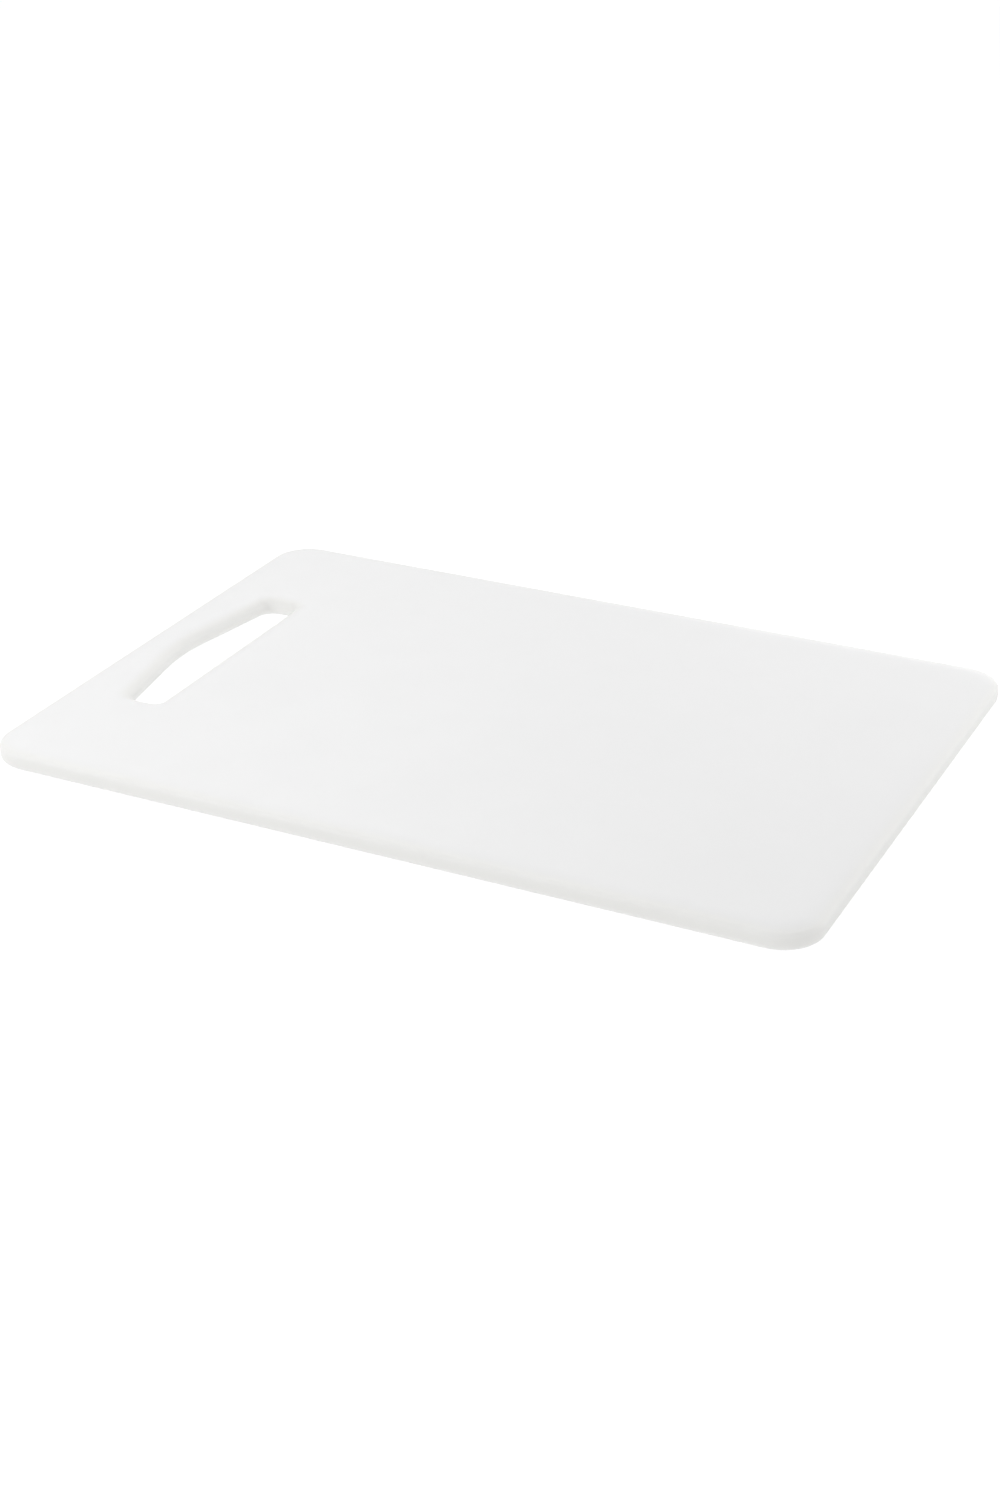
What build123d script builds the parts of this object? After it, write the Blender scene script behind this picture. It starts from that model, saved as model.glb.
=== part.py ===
"""Cutting board: one moulded slab of white polyethylene with a hand slot at one end.

Frame: origin at the centre of the underside, +X along the board away from the hand slot,
+Y across the board, +Z up out of the cutting surface.
"""

import os
from math import cos, radians, sin, tan

from build123d import *

# ---- driving dimensions, in millimetres and degrees ----

# slab
BOARD_LENGTH = 340.0
BOARD_WIDTH = 240.0
BOARD_THICKNESS = 9.0
CORNER_RADIUS = 16.5

# edge of the slab: each face falls away in a gentle shoulder, then rounds down to the upright wall
SHOULDER_RADIUS = 24.0
SHOULDER_ANGLE = 16.0
EDGE_RADIUS = 2.2

# hand slot, measured half way through the board, where it is narrowest
GRIP_WIDTH = 16.7
SLOT_WIDTH = 22.5
SLOT_LENGTH = 111.0
FLANK_ANGLE = 9.6
CROWN_RADIUS = 88.0
OUTER_CORNER_RADIUS = 5.0
INNER_CORNER_RADIUS = 3.0

# soft rim of the hand slot: a quarter ellipse from each face down to a narrow upright land
RIM_REACH = 8.0
LAND_HEIGHT = 0.8

# how far a cutter runs past the surfaces that it cuts
OVERRUN = 1.0

# ---- worked out from them ----

half_length = BOARD_LENGTH / 2
half_width = BOARD_WIDTH / 2
half_thickness = BOARD_THICKNESS / 2
middle_plane = Plane.XY.offset(half_thickness)

shoulder_angle = radians(SHOULDER_ANGLE)
edge_reach = SHOULDER_RADIUS * sin(shoulder_angle) + EDGE_RADIUS * (1 - sin(shoulder_angle))
edge_drop = SHOULDER_RADIUS * (1 - cos(shoulder_angle)) + EDGE_RADIUS * cos(shoulder_angle)
edge_plane = Plane(origin=(half_length, 0, half_thickness), x_dir=(-1, 0, 0), z_dir=(0, 1, 0))

half_slot = SLOT_LENGTH / 2
half_land = LAND_HEIGHT / 2
rim_depth = half_thickness - half_land
crown_x = GRIP_WIDTH - half_length
inner_x = crown_x + SLOT_WIDTH
flank_angle = radians(FLANK_ANGLE)
flanks_meet_x = crown_x - CROWN_RADIUS * (1 / cos(flank_angle) - 1)
outer_corner_x = flanks_meet_x + half_slot * tan(flank_angle)
rim_plane = Plane(origin=(inner_x, 0, half_thickness), x_dir=(1, 0, 0), z_dir=(0, -1, 0))

# ---- board: both faces are alike, so the upper half is made and mirrored ----

with BuildPart() as board:
    # slab with rounded corners
    with BuildSketch(middle_plane):
        with BuildLine() as slab_outline:
            FilletPolyline(
                (half_length, 0),
                (half_length, half_width),
                (-half_length, half_width),
                (-half_length, -half_width),
                (half_length, -half_width),
                radius=(0, CORNER_RADIUS, CORNER_RADIUS, CORNER_RADIUS, CORNER_RADIUS),
                close=True,
            )
        make_face()
    extrude(amount=half_thickness)

    # its edge, cut by one section swept round the slab
    with BuildSketch(edge_plane):
        with BuildLine():
            shoulder = JernArc((edge_reach, half_thickness), (-1, 0), SHOULDER_RADIUS, SHOULDER_ANGLE)
            JernArc(shoulder @ 1, shoulder % 1, EDGE_RADIUS, 90 - SHOULDER_ANGLE)
            Polyline(
                (0, half_thickness - edge_drop),
                (-OVERRUN, half_thickness - edge_drop),
                (-OVERRUN, half_thickness + OVERRUN),
                (edge_reach, half_thickness + OVERRUN),
                (edge_reach, half_thickness),
            )
        make_face()
    sweep(path=slab_outline.wire(), mode=Mode.SUBTRACT)

    # hand slot: straight towards the cutting area, two flanks and a blunt crown towards the grip
    with BuildSketch(middle_plane):
        with BuildLine() as slot_outline:
            FilletPolyline(
                (inner_x, 0),
                (inner_x, half_slot),
                (outer_corner_x, half_slot),
                (flanks_meet_x, 0),
                (outer_corner_x, -half_slot),
                (inner_x, -half_slot),
                radius=(
                    0,
                    INNER_CORNER_RADIUS,
                    OUTER_CORNER_RADIUS,
                    CROWN_RADIUS,
                    OUTER_CORNER_RADIUS,
                    INNER_CORNER_RADIUS,
                ),
                close=True,
            )
        make_face()
    extrude(amount=half_thickness, mode=Mode.SUBTRACT)

    # its soft rim, swept round the slot in the same way
    with BuildSketch(rim_plane):
        with BuildLine():
            EllipticalCenterArc((RIM_REACH, half_land), RIM_REACH, rim_depth, 90, arc_size=90)
            Polyline(
                (0, half_land),
                (-OVERRUN, half_land),
                (-OVERRUN, half_thickness + OVERRUN),
                (RIM_REACH, half_thickness + OVERRUN),
                (RIM_REACH, half_thickness),
            )
        make_face()
    sweep(path=slot_outline.wire(), mode=Mode.SUBTRACT)

    mirror(about=middle_plane)

board.part.label = "board"

os.makedirs("parts", exist_ok=True)
export_step(board.part, "parts/board.step")
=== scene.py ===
"""Looks of the cutting board: a matte white polyethylene slab on a pale, softly lit studio floor."""

from math import atan2, cos, pi, radians, sin, tan

import bmesh
import bpy
from mathutils import Matrix, Vector
from mathutils.geometry import delaunay_2d_cdt


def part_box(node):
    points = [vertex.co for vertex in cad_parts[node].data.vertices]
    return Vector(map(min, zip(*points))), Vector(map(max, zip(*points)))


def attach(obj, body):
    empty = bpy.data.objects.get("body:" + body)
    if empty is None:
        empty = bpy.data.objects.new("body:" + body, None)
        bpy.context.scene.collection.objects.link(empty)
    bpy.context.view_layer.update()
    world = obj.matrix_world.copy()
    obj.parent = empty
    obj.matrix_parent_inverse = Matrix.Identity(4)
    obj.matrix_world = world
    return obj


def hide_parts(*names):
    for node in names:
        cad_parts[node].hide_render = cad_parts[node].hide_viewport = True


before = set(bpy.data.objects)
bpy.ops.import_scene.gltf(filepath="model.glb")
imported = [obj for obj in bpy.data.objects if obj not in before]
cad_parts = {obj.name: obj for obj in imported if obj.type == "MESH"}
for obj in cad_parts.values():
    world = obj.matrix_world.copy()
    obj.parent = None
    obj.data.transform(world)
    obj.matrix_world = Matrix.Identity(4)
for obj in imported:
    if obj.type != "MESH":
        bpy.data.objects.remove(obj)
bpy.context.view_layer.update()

MM = 0.001

# ---- the board's shape: its outer size comes from the frame, the rest is the design's, in metres ----

low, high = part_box("board")
THICKNESS = high.z - low.z
CORNER_RADIUS = 16.5 * MM

SHOULDER_RADIUS = 24 * MM
SHOULDER_ANGLE = radians(16)
EDGE_RADIUS = 2.2 * MM

GRIP_WIDTH = 16.7 * MM
SLOT_WIDTH = 22.5 * MM
SLOT_LENGTH = 111 * MM
FLANK_ANGLE = radians(9.6)
CROWN_RADIUS = 88 * MM
OUTER_CORNER_RADIUS = 5 * MM
INNER_CORNER_RADIUS = 3 * MM
RIM_REACH = 8 * MM
LAND_HEIGHT = 0.8 * MM

# ---- how finely the mesh follows it ----

RUN_STEP = 3 * MM
ARC_STEP = radians(5)
CROWN_STEP = radians(1.6)
SHOULDER_STEPS = 6
EDGE_STEPS = 10
RIM_STEPS = 14
FACE_STEP = 5 * MM
FACE_CLEARANCE = 0.6 * FACE_STEP
BLEND_MARGIN = 0.15 * MM
WELD_DISTANCE = 1e-7
INSIDE_ONLY = 1

# ---- the plastic: sizes and depths of its texture, in metres, and its whiteness and dullness ----

# grain: its dimples, their share of it, and the size and detail of the grit that makes up the rest
DIMPLE_SIZE = 1.1 * MM
DIMPLE_SHARE = 0.6
GRIT = (0.4 * MM, 3)
GRAIN_RANGE = (0.2, 0.6)
GRAIN_DEPTH = 0.05 * MM
GRAIN_ON_FACES = 0.6
GRAIN_ON_EDGES = 0.15

# broad unevenness: size and detail of the clouds and of the waves
CLOUDS = (22 * MM, 4)
CLOUD_RANGE = (0.3, 0.7)
WAVES = (70 * MM, 1)
WAVE_DEPTH = 0.10 * MM

# how far below a face its texture begins to fade, and where it has faded out
FADE_START = 0.1 * MM
FADE_END = 1.2 * MM

FACE_ROUGHNESS = (0.44, 0.50)
GRAIN_ROUGHNESS = 0.03
EDGE_ROUGHNESS = 0.44

FACE_WHITES = ((0.842, 0.842, 0.842, 1), (0.838, 0.838, 0.838, 1))
# the edges' white, a little warmer than the faces: a painted warm shade tint for the walls
EDGE_WHITE_WITH_PAINTED_SHADE_TINT = (0.845, 0.843, 0.828, 1)

REFRACTION = 1.52
SINK_DEPTH = 3 * MM

# ---- the studio, in metres ----

FLOOR_SIZE = 8
FLOOR_DROP = 0.2 * MM
FLOOR_GREY = 0.3
FLOOR_ROUGHNESS = 0.9

# how strongly the floor and the surroundings glow, as they light the board and as the camera sees them
FLOOR_GLOW = (0.68, 0.84)
SKY_GLOW = (0.55, 1)

# name, place, aim, side and power in watts of each softbox
SOFTBOXES = (
    ("overhead", (0, 0, 1.2), (0, 0, 0), 0.8, 1.8),
    ("back_left", (-0.65, 0.65, 0.77), (0, 0, 0), 0.8, 3.1),
    ("low_back", (0, 1.16, 0.31), (0, 0, 0), 0.8, 1.65),
    ("front", (0, -0.92, 0.77), (0, 0, 0), 0.8, 1.65),
    ("near_right", (0.45, 0.35, 0.30), (0.10, 0.05, 0), 0.4, 0.32),
    ("near_left", (-0.40, -0.40, 0.35), (-0.10, -0.10, 0), 0.4, 0.65),
    ("low_right", (0.85, 0.50, 0.17), (0.10, 0, 0), 0.3, 0.28),
    ("low_near_right", (0.50, 0.45, 0.14), (0.15, 0.05, 0), 0.25, 0.27),
)

# the camera: where it looks from and at, its lens in millimetres and its shift in frame lengths
AZIMUTH = radians(27.47)
ELEVATION = radians(26.22)
ROLL = radians(-0.71)
DISTANCE = 0.9668
AIM = Vector((-0.0117, -0.0285, 0))
LENS = 58.78
SHIFT = 0.0331


# ---------------------------------------------------------------- board mesh


def outline(corners, radii, arc_steps):
    """Points and outward normals round a convex outline, anticlockwise: straight runs and corner arcs."""
    arcs = []
    count = len(corners)
    for i, corner in enumerate(corners):
        before = (corners[i - 1] - corner).normalized()
        after = (corners[(i + 1) % count] - corner).normalized()
        half = before.angle(after) / 2
        centre = corner + (before + after).normalized() * radii[i] / sin(half)
        start = corner + before * radii[i] / tan(half) - centre
        turn = pi - 2 * half
        steps = max(2, round(turn / arc_steps[i]))
        first = atan2(start.y, start.x)
        arc = []
        for k in range(steps + 1):
            angle = first + turn * k / steps
            normal = Vector((cos(angle), sin(angle)))
            arc.append((centre + normal * radii[i], normal))
        arcs.append(arc)
    ring = []
    for i, arc in enumerate(arcs):
        ring += arc
        end, normal = arc[-1]
        run = arcs[(i + 1) % count][0][0] - end
        steps = max(1, round(run.length / RUN_STEP))
        ring += [(end + run * k / steps, normal) for k in range(1, steps)]
    return ring


def slab_outline():
    """The slab seen from above."""
    x, y = high.x, high.y
    corners = [Vector(c) for c in ((x, -y), (x, y), (-x, y), (-x, -y))]
    return outline(corners, [CORNER_RADIUS] * 4, [ARC_STEP] * 4)


def slot_outline():
    """The hand slot seen from above, at its narrowest level."""
    crown = low.x + GRIP_WIDTH
    inner = crown + SLOT_WIDTH
    meet = crown - CROWN_RADIUS * (1 / cos(FLANK_ANGLE) - 1)
    half = SLOT_LENGTH / 2
    outer = meet + half * tan(FLANK_ANGLE)
    corners = [Vector(c) for c in ((inner, -half), (inner, half), (outer, half), (meet, 0), (outer, -half))]
    radii = [INNER_CORNER_RADIUS] * 2 + [OUTER_CORNER_RADIUS, CROWN_RADIUS, OUTER_CORNER_RADIUS]
    return outline(corners, radii, [ARC_STEP] * 3 + [CROWN_STEP, ARC_STEP])


def arc_section(radius, first, last, steps):
    """Steps down an arc of the edge's section, as distances outward and down from its start."""
    angles = [first + (last - first) * k / steps for k in range(steps + 1)]
    return [Vector((sin(a) - sin(first), cos(first) - cos(a))) * radius for a in angles]


def slab_section():
    """The slab's upper edge: a gentle shoulder, then a tight rounding to the upright wall."""
    shoulder = arc_section(SHOULDER_RADIUS, 0, SHOULDER_ANGLE, SHOULDER_STEPS)
    rounding = arc_section(EDGE_RADIUS, SHOULDER_ANGLE, pi / 2, EDGE_STEPS)
    return shoulder + [shoulder[-1] + step for step in rounding[1:]]


def slot_section():
    """The slot's upper rim: a quarter ellipse from the face down to a narrow upright land."""
    depth = (THICKNESS - LAND_HEIGHT) / 2
    quarter = arc_section(1, 0, pi / 2, RIM_STEPS)
    return [Vector((step.x * RIM_REACH, step.y * depth)) for step in quarter]


def both_faces(section):
    """The section from the upper face to the lower, as distances from the outline and heights."""
    reach = section[-1].x
    upper = [(reach + BLEND_MARGIN, THICKNESS)] + [(reach - s.x, THICKNESS - s.y) for s in section]
    return upper + [(d, THICKNESS - z) for d, z in reversed(upper)]


def add_wall(mesh, ring, profile, side):
    """A wall round the outline. side is -1 where the material lies inside it, and 1 where it lies outside."""
    rows = []
    for distance, z in profile:
        points = [p + n * distance * side for p, n in ring]
        rows.append([mesh.verts.new((p.x, p.y, z)) for p in points])
    for row, below in zip(rows, rows[1:]):
        for i in range(len(row)):
            j = (i + 1) % len(row)
            corners = (row[i], below[i], below[j], row[j])
            mesh.faces.new(corners if side < 0 else corners[::-1])
    return rows[0], rows[-1]


def inside(point, loop):
    """Whether a point lies inside a closed loop of points."""
    odd = False
    for a, b in zip(loop, loop[1:] + loop[:1]):
        if (a.y > point.y) != (b.y > point.y):
            if point.x < a.x + (b.x - a.x) * (point.y - a.y) / (b.y - a.y):
                odd = not odd
    return odd


def clearance(point, loop):
    """How far a point is from the nearest point of a loop."""
    return min((point - p).length for p in loop)


def face_points(slab_loop, slot_loop):
    """An even lattice between the two loops, kept clear of both."""
    row_step = FACE_STEP * sin(pi / 3)
    points = []
    rows = int(high.y / row_step)
    columns = int(high.x / FACE_STEP) + 1
    for j in range(-rows, rows + 1):
        for i in range(-columns, columns + 1):
            p = Vector(((i + 0.5 * (j % 2)) * FACE_STEP, j * row_step))
            if inside(p, slab_loop) and not inside(p, slot_loop):
                if min(clearance(p, slab_loop), clearance(p, slot_loop)) > FACE_CLEARANCE:
                    points.append(p)
    return points


def add_face(mesh, slab_row, slot_row, points, z, upward):
    """A flat face between the slab's border and the slot's."""
    rows = slab_row + slot_row
    flat = [Vector((v.co.x, v.co.y)) for v in rows]
    n, m = len(slab_row), len(slot_row)
    edges = [(i, (i + 1) % n) for i in range(n)]
    edges += [(n + i, n + (i + 1) % m) for i in range(m)]
    slot_loop = flat[n:]
    border = [list(range(n))]
    result = delaunay_2d_cdt(flat + points, edges, border, INSIDE_ONLY, WELD_DISTANCE)
    made, triangles = result[0], result[2]
    verts = rows + [mesh.verts.new((p.x, p.y, z)) for p in points]
    for t in triangles:
        a, b, c = (made[i] for i in t)
        if inside((a + b + c) / 3, slot_loop):
            continue
        order = t if ((b - a).cross(c - a) > 0) == upward else t[::-1]
        mesh.faces.new([verts[i] for i in order])


def make_board():
    """The whole board as one closed mesh: two walls, and the two faces between them."""
    mesh = bmesh.new()
    slab_rows = add_wall(mesh, slab_outline(), both_faces(slab_section()), -1)
    slot_rows = add_wall(mesh, slot_outline(), both_faces(slot_section()), 1)
    loops = [[Vector((v.co.x, v.co.y)) for v in row] for row in (slab_rows[0], slot_rows[0])]
    points = face_points(*loops)
    add_face(mesh, slab_rows[0], slot_rows[0], points, THICKNESS, True)
    add_face(mesh, slab_rows[1], slot_rows[1], points, 0, False)
    data = bpy.data.meshes.new("cutting_board")
    mesh.to_mesh(data)
    mesh.free()
    data.shade_smooth()
    piece = bpy.data.objects.new("cutting_board", data)
    bpy.context.scene.collection.objects.link(piece)
    return piece


# ---------------------------------------------------------------- materials


class Shading:
    """The shader nodes of a material or of the world, and short ways to add to them."""

    def __init__(self, owner, shader):
        owner.use_nodes = True
        self.owner = owner
        self.tree = owner.node_tree
        self.shader = self.tree.nodes[shader].inputs

    def put(self, socket, value):
        """Sets a socket to a number or a colour, or links another node's output to it."""
        if isinstance(value, bpy.types.NodeSocket):
            self.tree.links.new(value, socket)
        else:
            socket.default_value = value

    def add(self, kind, inputs, output=0, **settings):
        """Adds a node with its inputs and settings, and gives back one of its outputs."""
        node = self.tree.nodes.new("ShaderNode" + kind)
        for key, value in settings.items():
            setattr(node, key, value)
        for key, value in inputs.items():
            self.put(node.inputs[key], value)
        return node.outputs[output]

    def maths(self, operation, *values):
        return self.add("Math", dict(enumerate(values)), operation=operation)

    def mix(self, factor, a, b):
        return self.add("Mix", {"Factor": factor, "A": a, "B": b})

    def mix_colour(self, factor, a, b):
        """The colour form of mix, whose sockets have to be given by their numbers."""
        return self.add("Mix", {"Factor": factor, 6: a, 7: b}, 2, data_type="RGBA")

    def noise(self, place, size, detail):
        """Soft noise from 0 to 1 whose patches are about size across."""
        return self.add("TexNoise", {"Vector": place, "Scale": 1 / size, "Detail": detail})

    def ramp(self, value, low, high, to_low, to_high):
        """Takes values from low to high smoothly to the range from to_low to to_high."""
        inputs = {"Value": value, "From Min": low, "From Max": high, "To Min": to_low, "To Max": to_high}
        return self.add("MapRange", inputs, interpolation_type="SMOOTHSTEP")

    def bump(self, height, depth, strength, under=None):
        """A normal from a height of 0 to 1 that stands for depth, over another normal if there is one."""
        inputs = {"Height": height, "Distance": depth, "Strength": strength}
        if under:
            inputs["Normal"] = under
        return self.add("Bump", inputs)

    def backdrop(self, lit, seen):
        """A strength: lit is what the board receives, and seen is how white the backdrop looks."""
        return self.mix(self.add("LightPath", {}, "Is Camera Ray"), lit, seen)


def polyethylene():
    """Moulded white polyethylene: finely grained faces, smoother edges, and light that sinks in a little."""
    m = Shading(bpy.data.materials.new("polyethylene"), "Principled BSDF")
    place = m.add("TexCoord", {}, "Object")
    height = m.add("SeparateXYZ", {"Vector": place}, "Z")

    # 1 on the two faces and 0 on the walls, changing over the shoulder
    half = THICKNESS / 2
    from_middle = m.maths("ABSOLUTE", m.maths("SUBTRACT", height, half))
    face = m.ramp(from_middle, half - FADE_END, half - FADE_START, 0, 1)

    # the mould's eroded texture: dimples about a millimetre across, with a finer grit over them
    dimples = m.add("TexVoronoi", {"Vector": place, "Scale": 1 / DIMPLE_SIZE}, feature="SMOOTH_F1")
    coarse = m.maths("MULTIPLY", dimples, DIMPLE_SHARE)
    fine = m.maths("MULTIPLY", m.noise(place, *GRIT), 1 - DIMPLE_SHARE)
    grain = m.maths("ADD", coarse, fine)

    # broad, faint unevenness from the way that the melt ran and shrank
    clouds = m.ramp(m.noise(place, *CLOUDS), *CLOUD_RANGE, 0, 1)
    waves = m.noise(place, *WAVES)

    # the faces are a little duller than the edges, unevenly, and duller still on the grain's ridges
    patchy = m.mix(clouds, *FACE_ROUGHNESS)
    ridges = m.ramp(grain, *GRAIN_RANGE, -GRAIN_ROUGHNESS, GRAIN_ROUGHNESS)
    dull = m.maths("ADD", patchy, ridges)
    m.put(m.shader["Roughness"], m.mix(face, EDGE_ROUGHNESS, dull))

    # clear white faces; the edges get a slightly warmer white, a painted warm tint that stands for the shade
    # on the walls
    face_white = m.mix_colour(clouds, *FACE_WHITES)
    m.put(m.shader["Base Color"], m.mix_colour(face, EDGE_WHITE_WITH_PAINTED_SHADE_TINT, face_white))

    # the waves and the grain as relief, the grain fading out over the edges
    swell = m.bump(waves, WAVE_DEPTH, 1)
    grain_strength = m.mix(face, GRAIN_ON_EDGES, GRAIN_ON_FACES)
    m.put(m.shader["Normal"], m.bump(grain, GRAIN_DEPTH, grain_strength, swell))

    m.shader["IOR"].default_value = REFRACTION
    m.shader["Subsurface Weight"].default_value = 1
    m.shader["Subsurface Radius"].default_value = (1, 1, 1)
    m.shader["Subsurface Scale"].default_value = SINK_DEPTH
    return m.owner


def floor_material():
    """A matte ground that glows evenly, as a white sweep lit from behind does."""
    m = Shading(bpy.data.materials.new("studio_floor"), "Principled BSDF")
    m.shader["Base Color"].default_value = (FLOOR_GREY, FLOOR_GREY, FLOOR_GREY, 1)
    m.shader["Roughness"].default_value = FLOOR_ROUGHNESS
    m.shader["Specular IOR Level"].default_value = 0
    m.shader["Emission Color"].default_value = (1, 1, 1, 1)
    m.put(m.shader["Emission Strength"], m.backdrop(*FLOOR_GLOW))
    return m.owner


def studio_world():
    """Even white light from all round."""
    w = Shading(bpy.data.worlds.new("studio"), "Background")
    w.shader["Color"].default_value = (1, 1, 1, 1)
    w.put(w.shader["Strength"], w.backdrop(*SKY_GLOW))
    return w.owner


# ---------------------------------------------------------------- studio

board = make_board()
board.data.materials.append(polyethylene())
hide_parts("board")
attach(board, "root")

bpy.ops.mesh.primitive_plane_add(size=FLOOR_SIZE, location=(0, 0, -FLOOR_DROP))
floor = bpy.context.object
floor.name = "floor"
floor.data.materials.append(floor_material())

bpy.context.scene.world = studio_world()


def softbox(name, place, aim, side, power):
    """A square soft light of the given side and power in watts, which the camera doesn't see."""
    light = bpy.data.lights.new(name, "AREA")
    light.size = side
    light.energy = power
    lamp = bpy.data.objects.new(name, light)
    lamp.location = place
    lamp.rotation_euler = (Vector(aim) - Vector(place)).to_track_quat("-Z", "Y").to_euler()
    lamp.visible_camera = False
    bpy.context.scene.collection.objects.link(lamp)


for row in SOFTBOXES:
    softbox(*row)

# camera, looking down on the board from its front right
back = Vector((sin(AZIMUTH) * cos(ELEVATION), -cos(AZIMUTH) * cos(ELEVATION), sin(ELEVATION)))
right = Vector((cos(AZIMUTH), sin(AZIMUTH), 0))
up = back.cross(right)
right, up = right * cos(ROLL) + up * sin(ROLL), up * cos(ROLL) - right * sin(ROLL)
axes = Matrix((right, up, back)).transposed().to_4x4()

camera_data = bpy.data.cameras.new("camera")
camera_data.lens = LENS
camera_data.shift_x = SHIFT
camera = bpy.data.objects.new("camera", camera_data)
camera.matrix_world = Matrix.Translation(AIM + back * DISTANCE) @ axes
bpy.context.scene.collection.objects.link(camera)
bpy.context.scene.camera = camera

bpy.context.scene.view_settings.view_transform = "Standard"
